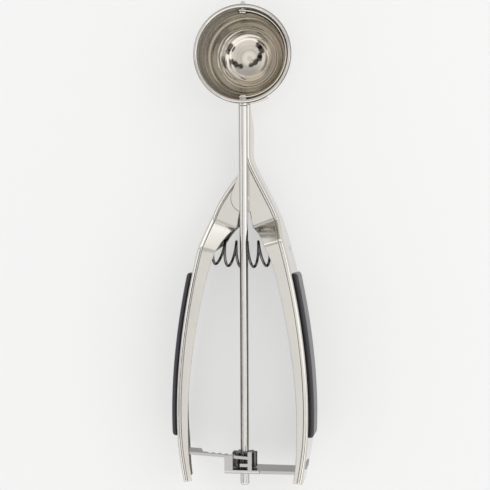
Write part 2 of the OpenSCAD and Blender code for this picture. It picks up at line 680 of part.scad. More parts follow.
// Low-headed rivets through a foot and the arm's wall
module foot_rivets(us, zs) {
    for (z = zs) on_wall(middle(us), z) {
        translate([0, 0, -0.45]) cylinder(r1 = 1.3, r2 = 1.9, h = 0.4);
        translate([0, 0, -0.2]) cylinder(r = small_rivet_r, h = foot_in + foot_t + 0.4);
        translate([0, 0, foot_in + foot_t + 0.03]) cylinder(r1 = 1.9, r2 = 1.3, h = 0.5);
    }
}
module carrier_rivets() { color("#b9b7b2") foot_rivets(carrier_foot, carrier_rivet_zs); }
module rack_rivets() {
    color("#b9b7b2") mirror([1, 0, 0]) foot_rivets(rack_foot, rack_rivet_zs);
}

// Toothed strip from the moving arm. It widens where the pinion never reaches.
rack_right = 2.6;
rack_stroke = rack_reach * sin(swing);
rack_wide = [rack_stroke + pitch_r - tooth_h + 0.9, rack_stroke + pitch_r + tooth_h + 1];
rack_low = rack_top - rack_drop;
rack_end = (wall_at(rack_foot[1]).x - foot_in - foot_t / 2) / cos(rack_slope);
rack_outline = [[rack_right, rack_tips], [rack_right, rack_top - 0.3], [rack_right - 0.3, rack_top],
    [2.4 - rack_end, rack_top], [-rack_end, foot_top], [-rack_end, rack_foot_low],
    [-rack_end + 2, rack_low], [-rack_wide[1], rack_low], [-rack_wide[0], rack_tips]];
tooth_pitch = 360 / pinion_teeth / gear_ratio;
function gap_half(z) = PI * tooth_module / 4 + backlash / 4 - (z - pitch_r) * tan(pressure);
gap_low = rack_tips - 0.3;
gap_high = pitch_r + tooth_h + root_gap;
module rack() {
    color("#c9c6bf") difference() {
        union() {
            translate([0, -rack_y, 0]) rotate([90, 0, -rack_slope])
                linear_extrude(rack_t, center = true) polygon(rack_outline);
            mirror([1, 0, 0]) wall_foot(rack_foot, rack_foot_low);
        }
        for (k = [-ceil(wiper_turn * pinion_teeth / 360):1])
            translate([0, -pivot_y, 0]) rotate([0, 0, k * tooth_pitch])
                translate([0, -rack_reach, 0]) rotate([90, 0, 0]) linear_extrude(6, center = true)
                    polygon([[-gap_half(gap_low), gap_low], [gap_half(gap_low), gap_low],
                             [gap_half(gap_high), gap_high], [-gap_half(gap_high), gap_high]]);
        mirror([1, 0, 0]) foot_rivet_holes(rack_foot, rack_rivet_zs);
    }
}

placed() bowl();
placed() bowl_saddle();
placed() rod_bush();
placed() far_pivot_pin();
placed() fixed_arm();
placed() fixed_grip();
placed() moving_arm();
placed() moving_grip();
placed() pivot_rivet();
placed() pivot_washer();
placed() return_spring();
placed() fixed_spring_seat();
placed() moving_spring_seat();
placed() rod();
placed() pinion();
placed() thrust_washer();
placed() rod_end_cap();
placed() wiper_blade();
placed() gear_carrier();
placed() carrier_rivets();
placed() rack();
placed() rack_rivets();
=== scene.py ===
# %% [markdown]
# # A squeeze-handle cookie scoop
# The scoop is polished steel: a spun bowl, a long rod with a toothed wheel at its tail, and two
# folded channel arms with dark soft grips. The frame below is the finished construction, which
# fixes every place and size. This lesson gives each piece a surface that looks like the metal it
# is made of. Pieces that reflect need smooth, finely divided meshes, so most are made again here
# from the same curves, and each one stands exactly where its construction solid stands.

# %% Load the frame
import json
import math

import bmesh
import bpy
from mathutils import Matrix, Vector


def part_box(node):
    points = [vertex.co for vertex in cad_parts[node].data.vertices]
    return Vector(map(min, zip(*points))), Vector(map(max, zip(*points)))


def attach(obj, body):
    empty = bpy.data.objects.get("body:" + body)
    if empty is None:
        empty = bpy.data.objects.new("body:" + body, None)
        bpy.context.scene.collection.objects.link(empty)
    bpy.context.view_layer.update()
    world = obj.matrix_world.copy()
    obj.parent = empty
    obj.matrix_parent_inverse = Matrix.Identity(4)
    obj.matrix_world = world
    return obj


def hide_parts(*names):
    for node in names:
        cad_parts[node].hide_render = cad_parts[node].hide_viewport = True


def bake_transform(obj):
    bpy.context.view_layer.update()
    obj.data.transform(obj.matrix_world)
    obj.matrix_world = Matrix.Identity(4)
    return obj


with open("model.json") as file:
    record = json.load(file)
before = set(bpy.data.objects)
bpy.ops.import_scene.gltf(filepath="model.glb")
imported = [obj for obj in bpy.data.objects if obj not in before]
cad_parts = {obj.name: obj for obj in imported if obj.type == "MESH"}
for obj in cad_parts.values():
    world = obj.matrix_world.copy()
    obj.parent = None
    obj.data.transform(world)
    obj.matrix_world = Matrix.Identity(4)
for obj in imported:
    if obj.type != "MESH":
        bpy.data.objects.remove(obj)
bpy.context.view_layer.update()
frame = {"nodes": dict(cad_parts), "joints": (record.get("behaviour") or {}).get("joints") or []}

# %% [markdown]
# ## The scoop's own axes
# It is easier to think from the rod than from the floor: the rod is the y axis, the bowl's centre
# is zero, and lengths are in millimetres. `at` turns such a place into the frame's metres. The
# rod's height and the pivot come from the joints, and the bowl's centre from the bowl.

# %% Places from the frame
MM = 0.001
joints = {joint["name"]: joint for joint in frame["joints"]}
rod_height = joints["wiper_turn"]["pos_m"][2]
bowl_low, bowl_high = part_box("bowl")
bowl_y = (bowl_low[1] + bowl_high[1]) / 2
pivot_y = (bowl_y - joints["squeeze"]["pos_m"][1]) / MM


def at(x, y, z):
    return Vector((x * MM, bowl_y + y * MM, rod_height + z * MM))


print("pivot below the bowl's centre, mm:", round(pivot_y, 2))

# %% [markdown]
# ## Camera
# The scoop lies on its bowl and the backs of its handles, and the camera looks down on it from
# about 0.6 m. It stands a little to the right, so the left walls of the bowl and handles show
# more. The view is set by a distance, two small angles and the width that the picture takes in.

# %% Camera
view_distance = 0.6
view_right = 8.4
view_up = 2.0
view_roll = -0.25
view_width = 0.2053
aim = at(0.46, -79.6, 0)

camera_data = bpy.data.cameras.new("camera")
camera_data.sensor_fit = "HORIZONTAL"
camera_data.sensor_width = 36
camera_data.lens = camera_data.sensor_width * view_distance / view_width
camera = bpy.data.objects.new("camera", camera_data)
bpy.context.scene.collection.objects.link(camera)
right, up = math.radians(view_right), math.radians(view_up)
toward = Vector((math.sin(right) * math.cos(up), math.sin(up), math.cos(right) * math.cos(up)))
side = Vector((0, 1, 0)).cross(toward).normalized()
top = toward.cross(side)
turn = Matrix((side, top, toward)).transposed() @ Matrix.Rotation(math.radians(view_roll), 3, "Z")
camera.matrix_world = Matrix.Translation(aim + toward * view_distance) @ turn.to_4x4()
bpy.context.scene.camera = camera
print("lens, mm:", round(camera_data.lens, 1))

# %% [markdown]
# ## Floor and light
# Polished metal shows its surroundings, so the light matters as much as the steel. A pale floor
# and a pale sky make the metal bright, and the sky is darker low at the sides, which draws the
# dark lines along its edges, as black cards do beside a product table. The floor touches the bowl
# and the backs of the handles, so it is tipped a little under the scoop.

# %% Floor
bowl_out_r = 19.7
handle_back = 15.4
back_foot_y = 160.6
reach = math.hypot(back_foot_y, handle_back)
floor_tip = math.asin(bowl_out_r / reach) - math.asin(handle_back / reach)
floor_normal = Vector((0, math.sin(floor_tip), math.cos(floor_tip)))
floor_point = at(0, 0, 0) - floor_normal * bowl_out_r * MM
floor_half = 1.5

floor_mesh = bpy.data.meshes.new("floor")
across = Vector((1, 0, 0))
along = floor_normal.cross(across)
corners = [floor_point + floor_half * (a * across + b * along)
           for a, b in ((-1, -1), (1, -1), (1, 1), (-1, 1))]
floor_mesh.from_pydata([tuple(c) for c in corners], [], [(0, 1, 2, 3)])
floor = bpy.data.objects.new("floor", floor_mesh)
bpy.context.scene.collection.objects.link(floor)
print("floor tip, degrees:", round(math.degrees(floor_tip), 2))


# %% Small helpers for materials
def new_material(name):
    material = bpy.data.materials.new(name)
    material.use_nodes = True
    tree = material.node_tree
    return material, tree, tree.nodes["Principled BSDF"]


def add_node(tree, kind, **settings):
    node = tree.nodes.new(kind)
    for key, value in settings.items():
        setattr(node, key, value)
    return node


def set_inputs(node, **values):
    for key, value in values.items():
        node.inputs[key.replace("_", " ")].default_value = value
    return node


def calc(tree, operation, *values):
    """A math node. Each value is a number, or the socket that the number comes from."""
    node = add_node(tree, "ShaderNodeMath", operation=operation)
    for socket, value in zip(node.inputs, values):
        if isinstance(value, (int, float)):
            socket.default_value = value
        else:
            tree.links.new(value, socket)
    return node.outputs[0]


def between(tree, value, low, high, start, end, kind="SMOOTHSTEP"):
    """Runs from start to end while the value runs from low to high."""
    node = add_node(tree, "ShaderNodeMapRange", interpolation_type=kind)
    set_inputs(node, From_Min=low, From_Max=high, To_Min=start, To_Max=end)
    tree.links.new(value, node.inputs["Value"])
    return node.outputs["Result"]


# %% Floor material
floor_glow = 0.5
floor_material, tree, shader = new_material("pale_table")
set_inputs(shader, Base_Color=(0.36, 0.36, 0.358, 1), Roughness=0.9,
           Emission_Color=(1, 1, 0.995, 1))
rays = add_node(tree, "ShaderNodeLightPath").outputs
seen = calc(tree, "MAXIMUM", rays["Is Camera Ray"], rays["Is Glossy Ray"])
seen = calc(tree, "MAXIMUM", seen, rays["Is Transmission Ray"])
tree.links.new(calc(tree, "MULTIPLY", seen, floor_glow), shader.inputs["Emission Strength"])
floor_mesh.materials.append(floor_material)
print("glow of the floor where it is seen or mirrored:", floor_glow)

# %% [markdown]
# The sky's tone depends on direction: `x` is to the right, `y` away past the bowl and `z` up. Low
# down there is a band that is bright behind the bowl and darker at the sides. Higher up the sky is
# plain, a little brighter at the sides and near the handles' ends.

# %% Sky
world = bpy.data.worlds.new("studio")
world.use_nodes = True
bpy.context.scene.world = world
tree = world.node_tree
direction = add_node(tree, "ShaderNodeTexCoord").outputs["Generated"]
split = add_node(tree, "ShaderNodeSeparateXYZ")
tree.links.new(direction, split.inputs[0])
x, y, z = split.outputs
low_behind_bowl, low_at_sides, high_at_sides = 1.8, 0.45, 1.45
x_squared = calc(tree, "MULTIPLY", x, x)
level_squared = calc(tree, "ADD", x_squared, calc(tree, "MULTIPLY", y, y))
sideways = calc(tree, "DIVIDE", x_squared, level_squared)
behind_bowl = between(tree, y, 0.6, 0.95, 0.75, low_behind_bowl)
low_sides = between(tree, sideways, 0.15, 0.7, 1.0, low_at_sides)
low_tone = calc(tree, "MULTIPLY", low_sides, behind_bowl)
side_tone = between(tree, calc(tree, "ABSOLUTE", x), 0.3, 0.8, 1.0, high_at_sides)
right_tone = calc(tree, "MULTIPLY", between(tree, x, -0.9, 0.9, 0.95, 1.05), side_tone)
end_tone = calc(tree, "MULTIPLY", between(tree, y, -0.7, -0.1, 1.42, 1.0),
                between(tree, y, 0.2, 0.75, 1.0, 0.72))
high_tone = calc(tree, "MULTIPLY", right_tone, end_tone)
overhead = between(tree, z, 0.08, 0.22, 0.0, 1.0)
sky = add_node(tree, "ShaderNodeMix", data_type="FLOAT")
for name, value in (("Factor", overhead), ("A", low_tone), ("B", high_tone)):
    tree.links.new(value, sky.inputs[name])
print("sky tone low behind the bowl:", low_behind_bowl, "and high at the sides:", high_at_sides)

# %% [markdown]
# Dark flags hang round a product table to give polished metal something to show. Twelve small
# ones, each set by its compass angle, its height and its half width in degrees, make the broken
# dark shapes in the bottom of the bowl. What the camera sees straight is a plain white backdrop.

# %% Dark flags in the sky
flags = [(-30, 43, 10), (-14, 40, 7), (22, 50, 8), (38, 56, 8), (60, 60, 7), (-143, 44, 10),
         (-158, 46, 10), (-178, 53, 7), (170, 57, 8), (148, 62, 8), (120, 65, 6), (-173, 27, 6)]
flag_tone, flag_core, flag_edge = 0.12, 0.85, 1.15
tone = sky.outputs["Result"]
for compass, height, half in flags:
    c, h = math.radians(compass), math.radians(height)
    near = add_node(tree, "ShaderNodeVectorMath", operation="DOT_PRODUCT")
    flag_place = (math.cos(c) * math.cos(h), math.sin(c) * math.cos(h), math.sin(h))
    near.inputs[1].default_value = flag_place
    tree.links.new(direction, near.inputs[0])
    edge, core = [math.cos(math.radians(half * share)) for share in (flag_edge, flag_core)]
    shade = between(tree, near.outputs["Value"], edge, core, 1.0, flag_tone)
    tone = calc(tree, "MULTIPLY", tone, shade)
backdrop = add_node(tree, "ShaderNodeLightPath").outputs["Is Camera Ray"]
background = tree.nodes["Background"]
tree.links.new(calc(tree, "MAXIMUM", tone, backdrop), background.inputs["Color"])
background.inputs["Strength"].default_value = 1.0
print("dark flags:", len(flags))

# %% Lamp
lamp_data = bpy.data.lights.new("window", "AREA")
lamp_data.shape = "RECTANGLE"
lamp_data.size = lamp_data.size_y = 0.9
lamp_data.energy = 2.5
lamp = bpy.data.objects.new("window", lamp_data)
bpy.context.scene.collection.objects.link(lamp)
lamp_place = Vector((0.7, 0.35, 0.8))
lamp_turn = lamp_place.to_track_quat("Z", "Y").to_matrix().to_4x4()
lamp.matrix_world = Matrix.Translation(lamp_place) @ lamp_turn
lamp.visible_glossy = False
bpy.context.scene.view_settings.view_transform = "Standard"
print("lamp to the scoop, m:", round(lamp_place.length, 2))

# %% [markdown]
# ## Steel finishes
# Stainless steel is a metal of one warm grey colour. What changes from piece to piece is the
# polish: fine lines along the arms, rings on the spun bowl, a bright drawn surface on the rod.
# A streaky noise drives a little roughness and a very low bump, so highlights break up as real
# ones do, and a wide faint noise varies the tone as handling does.


# %% Helpers for patterns
def noise(tree, place, **settings):
    node = set_inputs(add_node(tree, "ShaderNodeTexNoise"), **settings)
    tree.links.new(place, node.inputs["Vector"])
    return node.outputs["Fac"]


def times(tone, share):
    return [c * share for c in tone]


def shades(tree, factor, low, high):
    """A colour that runs from the low to the high tone."""
    node = add_node(tree, "ShaderNodeMix", data_type="RGBA")
    node.inputs["A"].default_value = (*low, 1)
    node.inputs["B"].default_value = (*high, 1)
    tree.links.new(factor, node.inputs["Factor"])
    return node.outputs["Result"]


def bump(tree, height, strength, distance, over=None):
    node = set_inputs(add_node(tree, "ShaderNodeBump"), Strength=strength, Distance=distance)
    tree.links.new(height, node.inputs["Height"])
    if over is not None:
        tree.links.new(over, node.inputs["Normal"])
    return node.outputs["Normal"]


# %% Steel materials
def steel(name, tone, roughness, streak_scale, streak_bump, spread=0.06, edge=0.6):
    """Streaky polished steel. edge is how bright it is where it is seen at a flat angle."""
    material, tree, shader = new_material(name)
    set_inputs(shader, Metallic=1.0, Specular_Tint=(edge, edge, edge, 1))
    place = add_node(tree, "ShaderNodeTexCoord").outputs["Object"]
    stretch = set_inputs(add_node(tree, "ShaderNodeMapping"), Scale=streak_scale)
    tree.links.new(place, stretch.inputs["Vector"])
    streaks = noise(tree, stretch.outputs["Vector"], Scale=1.0, Detail=6.0, Roughness=0.65)
    gloss = between(tree, streaks, 0.3, 0.7, roughness - spread, roughness + spread, "LINEAR")
    tree.links.new(gloss, shader.inputs["Roughness"])
    clouds = noise(tree, place, Scale=90.0, Detail=3.0)
    colour = shades(tree, clouds, times(tone, 0.95), times(tone, 1.05))
    tree.links.new(colour, shader.inputs["Base Color"])
    tree.links.new(bump(tree, streaks, streak_bump, 0.00004), shader.inputs["Normal"])
    return material


arm_steel = steel("polished_sheet", (0.67, 0.645, 0.595), 0.11, (2600, 60, 2600), 0.2,
                  spread=0.04, edge=1.0)
rod_steel = steel("drawn_rod", (0.68, 0.66, 0.63), 0.12, (3000, 40, 3000), 0.15, edge=0.1)
# A dark, rough finish for painted shade: the channels' inside walls and the score line are painted
# dark where shade falls in them.
painted_shade_steel = steel("unpolished_inside", (0.21, 0.205, 0.195), 0.42, (2600, 60, 2600), 0.3)
rim_steel = steel("rolled_rim", (0.66, 0.63, 0.58), 0.08, (900, 900, 900), 0.15, edge=0.05)
gear_steel = steel("stamped_steel", (0.52, 0.51, 0.50), 0.2, (900, 900, 900), 0.35)
# The spring's wire is painted dark: painted shade that stands in for the dark reflections along its
# coils. The same dark finish also paints a shade line round the outside of the bowl's rolled rim.
painted_shade_wire_steel = steel("spring_wire", (0.24, 0.23, 0.22), 0.14, (700, 700, 700), 0.2, edge=0.0)
# The pinion's dark tone is painted shade. It stands in for the shade in the gear carrier round it.
pinion_shade_steel = steel("hardened_pinion", (0.17, 0.165, 0.16), 0.28, (900, 900, 900), 0.3)
steels = (arm_steel, rod_steel, painted_shade_steel, rim_steel, gear_steel, painted_shade_wire_steel, pinion_shade_steel)
print("steel finishes:", [material.name for material in steels])

# %% [markdown]
# The bowl is spun over a form, and the tool leaves fine rings round its axis. A mapping node
# moves the pattern's zero to the bowl's axis, and the distance from the axis drives a noise, so
# the rings are true circles of uneven depth and never a plain stripe. Thin dark rings are also
# painted into the tone, and `ring_lines` gives each one's radius in mm and its strength. The wall
# is brushed rather than polished, so it is rougher and scatters part of the light. Its tone is
# painted lighter than the bottom's: a painted brightening of a wall whose reflections come out
# dark.


# %% Bowl material
# Each entry is a radius in mm and a strength: a thin dark ring painted into the bowl's tone, and a
# shallow groove in its mesh.
ring_lines = [(8.6, 0.3), (10.1, 0.4), (12.2, 0.6), (13.3, 0.35), (15.1, 0.6), (16.5, 0.4),
              (17.8, 0.5)]
mark_core, mark_edge = 0.1 * MM, 0.45 * MM


def around_bowl(tree):
    """The distance from the bowl's axis, and the height over its centre."""
    centre = add_node(tree, "ShaderNodeMapping")
    centre.inputs["Location"].default_value = (0, -bowl_y, -rod_height)
    tree.links.new(add_node(tree, "ShaderNodeTexCoord").outputs["Object"], centre.inputs["Vector"])
    parts = add_node(tree, "ShaderNodeSeparateXYZ")
    tree.links.new(centre.outputs["Vector"], parts.inputs[0])
    flat = add_node(tree, "ShaderNodeCombineXYZ")
    tree.links.new(parts.outputs["X"], flat.inputs["X"])
    tree.links.new(parts.outputs["Y"], flat.inputs["Y"])
    radius = add_node(tree, "ShaderNodeVectorMath", operation="LENGTH")
    tree.links.new(flat.outputs["Vector"], radius.inputs[0])
    return radius.outputs["Value"], parts.outputs["Z"]


def spun_steel(name, tone, roughness):
    material, tree, shader = new_material(name)
    radius, height = around_bowl(tree)
    ring_place = add_node(tree, "ShaderNodeCombineXYZ")
    tree.links.new(radius, ring_place.inputs["X"])
    tree.links.new(height, ring_place.inputs["Y"])
    rings = noise(tree, ring_place.outputs["Vector"], Scale=1500.0, Detail=5.0, Roughness=0.7)
    wide = noise(tree, ring_place.outputs["Vector"], Scale=420.0, Detail=2.0)
    gloss = between(tree, wide, 0.3, 0.7, roughness - 0.03, roughness + 0.04, "LINEAR")
    brushed = between(tree, height, -9 * MM, 1 * MM, 0.0, 0.16)
    tree.links.new(calc(tree, "ADD", gloss, brushed), shader.inputs["Roughness"])
    tree.links.new(between(tree, height, -14 * MM, -4 * MM, 1.0, 0.7), shader.inputs["Metallic"])
    # The tone is painted lighter up the wall than in the bottom: a painted brightening where the
    # wall's reflections come out dark.
    amount = calc(tree, "MULTIPLY", between(tree, wide, 0.36, 0.6, 0.52, 1.0, "LINEAR"),
                  between(tree, height, -12 * MM, -7 * MM, 0.79, 1.0))
    for ring, depth in ring_lines:
        away = calc(tree, "ABSOLUTE", calc(tree, "SUBTRACT", radius, ring * MM))
        mark = between(tree, away, mark_core, mark_edge, 1 - depth, 1.0)
        amount = calc(tree, "MULTIPLY", amount, mark)
    colour = shades(tree, amount, times(tone, 0.35), times(tone, 1.32))
    tree.links.new(colour, shader.inputs["Base Color"])
    ridges = bump(tree, wide, 1.0, 0.00009)
    tree.links.new(bump(tree, rings, 0.4, 0.00003, ridges), shader.inputs["Normal"])
    return material


bowl_steel = spun_steel("spun_bowl", (0.65, 0.605, 0.53), 0.07)
print("clear tool marks in the bowl:", len(ring_lines))

# %% [markdown]
# The grips are a soft elastomer over the handles. It is nearly black with a slight violet cast,
# and a fine moulded grain makes its sheen broad and dull.


# %% Grip material
def soft_rubber(name, low, high):
    material, tree, shader = new_material(name)
    place = add_node(tree, "ShaderNodeTexCoord").outputs["Object"]
    grain = noise(tree, place, Scale=2600.0, Detail=4.0)
    dust = noise(tree, place, Scale=140.0, Detail=4.0)
    tree.links.new(shades(tree, dust, low, high), shader.inputs["Base Color"])
    shader.inputs["Roughness"].default_value = 0.3
    tree.links.new(bump(tree, grain, 0.35, 0.00008), shader.inputs["Normal"])
    return material


rubber = soft_rubber("soft_grip", (0.026, 0.024, 0.029), (0.044, 0.040, 0.050))
print("grip finish:", rubber.name)

# %% [markdown]
# ## Making meshes
# Two ways of building cover nearly every piece. A *lathe* turns a profile round an axis: the
# bowl, rod, rivets and washers. A *loft* joins rings of points: the arms and grips. Both are a
# few lines of mesh code here, because the points follow formulas.


# %% Linking, shading and corners
def link_piece(name, points, faces, material, slots=None):
    mesh = bpy.data.meshes.new(name)
    mesh.from_pydata([tuple(p) for p in points], [], faces)
    if slots:
        mesh.polygons.foreach_set("material_index", slots)
    shape = bmesh.new()
    shape.from_mesh(mesh)
    bmesh.ops.remove_doubles(shape, verts=shape.verts, dist=1e-7)
    bmesh.ops.recalc_face_normals(shape, faces=shape.faces)
    shape.to_mesh(mesh)
    shape.free()
    mesh.polygons.foreach_set("use_smooth", [True] * len(mesh.polygons))
    mesh.materials.append(material)
    piece = bpy.data.objects.new(name, mesh)
    bpy.context.scene.collection.objects.link(piece)
    return piece


def even_shading(piece):
    modifier = piece.modifiers.new("even_shading", "WEIGHTED_NORMAL")
    modifier.weight = 80
    modifier.keep_sharp = True
    return piece


def stands_for(piece, node, body):
    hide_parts(node)
    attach(piece, body)
    return piece


def mix(a, b, t):
    return a + (b - a) * t


def soften(profile, size):
    """Rounds each inner corner of a profile with a short three-point curve."""
    out = [profile[0]]
    for before, here, after in zip(profile, profile[1:], profile[2:]):
        before, here, after = Vector(before), Vector(here), Vector(after)
        a = here + (before - here).normalized() * min(size, (before - here).length * 0.45)
        b = here + (after - here).normalized() * min(size, (after - here).length * 0.45)
        for t in (0.0, 0.33, 0.67, 1.0):
            out.append(tuple((1 - t) ** 2 * a + 2 * t * (1 - t) * here + t * t * b))
    return out + [profile[-1]]


# %% Lathe
def lathe(name, start, axis, profile, material, segments):
    """Turns (distance along the axis, radius) pairs, in mm, round the axis through start."""
    axis = Vector(axis).normalized()
    first = axis.orthogonal().normalized()
    second = axis.cross(first)
    points, rows, faces = [], [], []
    for distance, radius in profile:
        if radius < 1e-6:
            rows.append([len(points)] * segments)
            points.append(start + axis * distance * MM)
            continue
        rows.append(list(range(len(points), len(points) + segments)))
        for k in range(segments):
            angle = math.tau * k / segments
            spoke = first * math.cos(angle) + second * math.sin(angle)
            points.append(start + axis * distance * MM + spoke * radius * MM)
    for a, b in zip(rows, rows[1:]):
        for k in range(segments):
            n = (k + 1) % segments
            face = [a[k], a[n], b[n], b[k]]
            face = [v for i, v in enumerate(face) if v != face[i - 1]]
            if len(face) > 2:
                faces.append(face)
    return even_shading(link_piece(name, points, faces, material))


# %% Loft
def loft(name, rings, caps, material, second=None, takes_second=None):
    """Joins rings of points. takes_second(ring, strip) says where the second material goes."""
    size = len(rings[0])
    points = [p for ring in rings for p in ring]
    places = [(i, j) for i in range(len(rings) - 1) for j in range(size)]
    faces = []
    for i, j in places:
        here, after, n = i * size, (i + 1) * size, (j + 1) % size
        faces.append([here + j, here + n, after + n, after + j])
    last = (len(rings) - 1) * size
    for cap in caps:
        faces.append(list(cap))
        faces.append([last + j for j in reversed(cap)])
    slots = [int(bool(second and takes_second(i, j))) for i, j in places]
    piece = link_piece(name, points, faces, material, slots=slots + [0] * (2 * len(caps)))
    if second:
        piece.data.materials.append(second)
    return even_shading(piece)


# %% [markdown]
# ## Bowl
# The bowl is a half sphere of thin sheet with a short straight band and a rolled rim. Turning one
# closed profile makes inside, rim and outside together, so the wall has its true thickness. The
# arcs have many steps, because a mirror shows every flat.

# %% Bowl
bowl_in_r = 18.9
rim_top = 3.6
bead_r = 0.75
bead_centre = (rim_top - bead_r, bowl_in_r + 0.15 + bead_r)
bead_from, bead_to, bead_steps = -110, 160, 28
arc_steps, groove_steps = 72, 216
groove_depth, groove_width = 0.1, 0.3
rim_shade_from = 0.62


def arc(centre, radius, start, end, steps):
    """Points (distance, radius) on an arc, from angle start to end in degrees."""
    return [(centre[0] + radius * math.cos(math.radians(start + (end - start) * i / steps)),
             centre[1] + radius * math.sin(math.radians(start + (end - start) * i / steps)))
            for i in range(steps + 1)]


def bowl_inside(angle):
    """A point (distance, radius) of the inside, where each ring line is a shallow round groove."""
    turn = math.radians(angle)
    across = bowl_in_r * math.sin(turn)
    groove = sum(groove_depth * depth * math.exp(-((across - ring) / groove_width) ** 2)
                 for ring, depth in ring_lines)
    return ((bowl_in_r + groove) * math.cos(turn), (bowl_in_r + groove) * math.sin(turn))


inside = [bowl_inside(mix(180, 90, i / groove_steps)) for i in range(groove_steps + 1)]
outside = arc((0, 0), bowl_out_r, 90, 180, arc_steps)
inside = [(a, max(b, 0)) for a, b in inside]
outside = [(a, max(b, 0)) for a, b in outside]
band_top = bead_centre[0] - bead_r
bead = arc(bead_centre, bead_r, bead_from, bead_to, bead_steps)
bowl_profile = inside + [(band_top, bowl_in_r)] + bead + outside
bowl = lathe("bowl_shell", at(0, 0, 0), (0, 0, 1), bowl_profile, bowl_steel, segments=192)
bowl.data.materials.append(rim_steel)
bowl.data.materials.append(painted_shade_wire_steel)
# The rim takes the rim's finish, and the outermost strip of the rolled bead takes the dark wire
# finish: a painted shade line under the roll.
for face in bowl.data.polygons:
    place = (face.center - at(0, 0, 0)) / MM
    from_axis = math.hypot(place.x, place.y)
    on_rim = from_axis > bowl_in_r + 0.1 and place.z > band_top - 0.3
    rim_shade_line = on_rim and from_axis > bead_centre[1] + rim_shade_from * bead_r
    face.material_index = 2 if rim_shade_line else int(on_rim)
stands_for(bowl, "bowl", "root")
print("bowl points:", len(bowl.data.vertices))

# %% [markdown]
# ## Arms
# Each arm is one strip of sheet folded into a channel. Seen from the front its outer wall follows
# two smooth curves, and the front flange steps up on a short ramp below the fork, so that the rod
# can run through. The same curves as the construction's are walked here in much finer steps, with
# the creases rounded and the sheet's cut edges eased, which is what catches the light.

# %% The arms' curves
neck_half = 2.45
neck_start = 20.66
flare_y = 42.06
fork_y = 68.06
handle_len = 110.5
widest_y = fork_y + 0.742 * handle_len
end_y = fork_y + handle_len
sheet = 0.9
bend_r = 1.8
handle_front = 8.4
neck_front = -2.2
fork_half, handle_half, end_half = 14.4, 27.8, 25


def bezier(p, t):
    return tuple((1 - t) ** 3 * a + 3 * (1 - t) ** 2 * t * b + 3 * (1 - t) * t * t * c + t ** 3 * d
                 for a, b, c, d in zip(*p))


def slope(p, t):
    step = [(1 - t) ** 2 * (b - a) + 2 * (1 - t) * t * (c - b) + t * t * (d - c)
            for a, b, c, d in zip(*p)]
    return Vector(step).normalized()


def ease(t):
    t = min(1, max(0, t))
    return t * t * (3 - 2 * t)


handle_upper = [(fork_half, -fork_y), (fork_half + 4.9, -fork_y - 0.11 * handle_len),
                (handle_half, -widest_y + 0.305 * handle_len), (handle_half, -widest_y)]
handle_lower = [(handle_half, -widest_y), (handle_half, -widest_y - 0.12 * handle_len),
                (end_half + 1.5, -end_y + 0.08 * handle_len), (end_half, -end_y)]


def wall_at(u):
    return Vector(bezier(handle_upper, u) if u <= 1 else bezier(handle_lower, u - 1))


def inward(u):
    run = slope(handle_upper, u) if u <= 1 else slope(handle_lower, u - 1)
    return Vector((run.y, -run.x))


def wall_u(y):
    low, high = 0.0, 2.0
    while high - low > 1e-6:
        middle = (low + high) / 2
        low, high = (middle, high) if -wall_at(middle).y < y else (low, middle)
    return (low + high) / 2


print("handles are widest, mm from the bowl's centre:", round(widest_y, 1))

# %% The arms' cross-sections
flange_fork, flange_top, flange_mid, flange_end = 11.8, 6.5, 5.0, 3.8
narrow_u = 0.45
fixed_ramp, moving_ramp = 9.4, 12.5
web_len, web_fade = 8.0, 12.0
back_lip = 1.1
back_u = 1.35
end_rise = 6.0
edge_r = 0.3
crease_soft = 0.07
score_depth = 0.26
bend_steps, neck_steps, upper_steps, ramp_steps, handle_steps = 7, 40, 60, 60, 80
ramp_reach = 22


def flange_at(u):
    if u < narrow_u:
        return mix(flange_top, flange_fork, (1 - u / narrow_u) ** 2)
    if u <= 1:
        return mix(flange_top, flange_mid, (u - narrow_u) / (1 - narrow_u))
    return mix(flange_mid, flange_end, ease(u - 1))


def rounded_ramp(t):
    """Runs from 0 to 1 in a straight line with rounded corners of half width crease_soft."""
    w = crease_soft
    if t < -w:
        return 0.0
    if t < w:
        return (t + w) ** 2 / (4 * w)
    if t < 1 - w:
        return t
    if t < 1 + w:
        return 1 - (1 + w - t) ** 2 / (4 * w)
    return 1.0


def lip_at(u):
    down = -wall_at(u).y - fork_y
    return mix(flange_at(u), back_lip, ease((down - web_len) / web_fade))


def back_at(u):
    return -handle_back + end_rise * ease((u - back_u) / (2 - back_u))


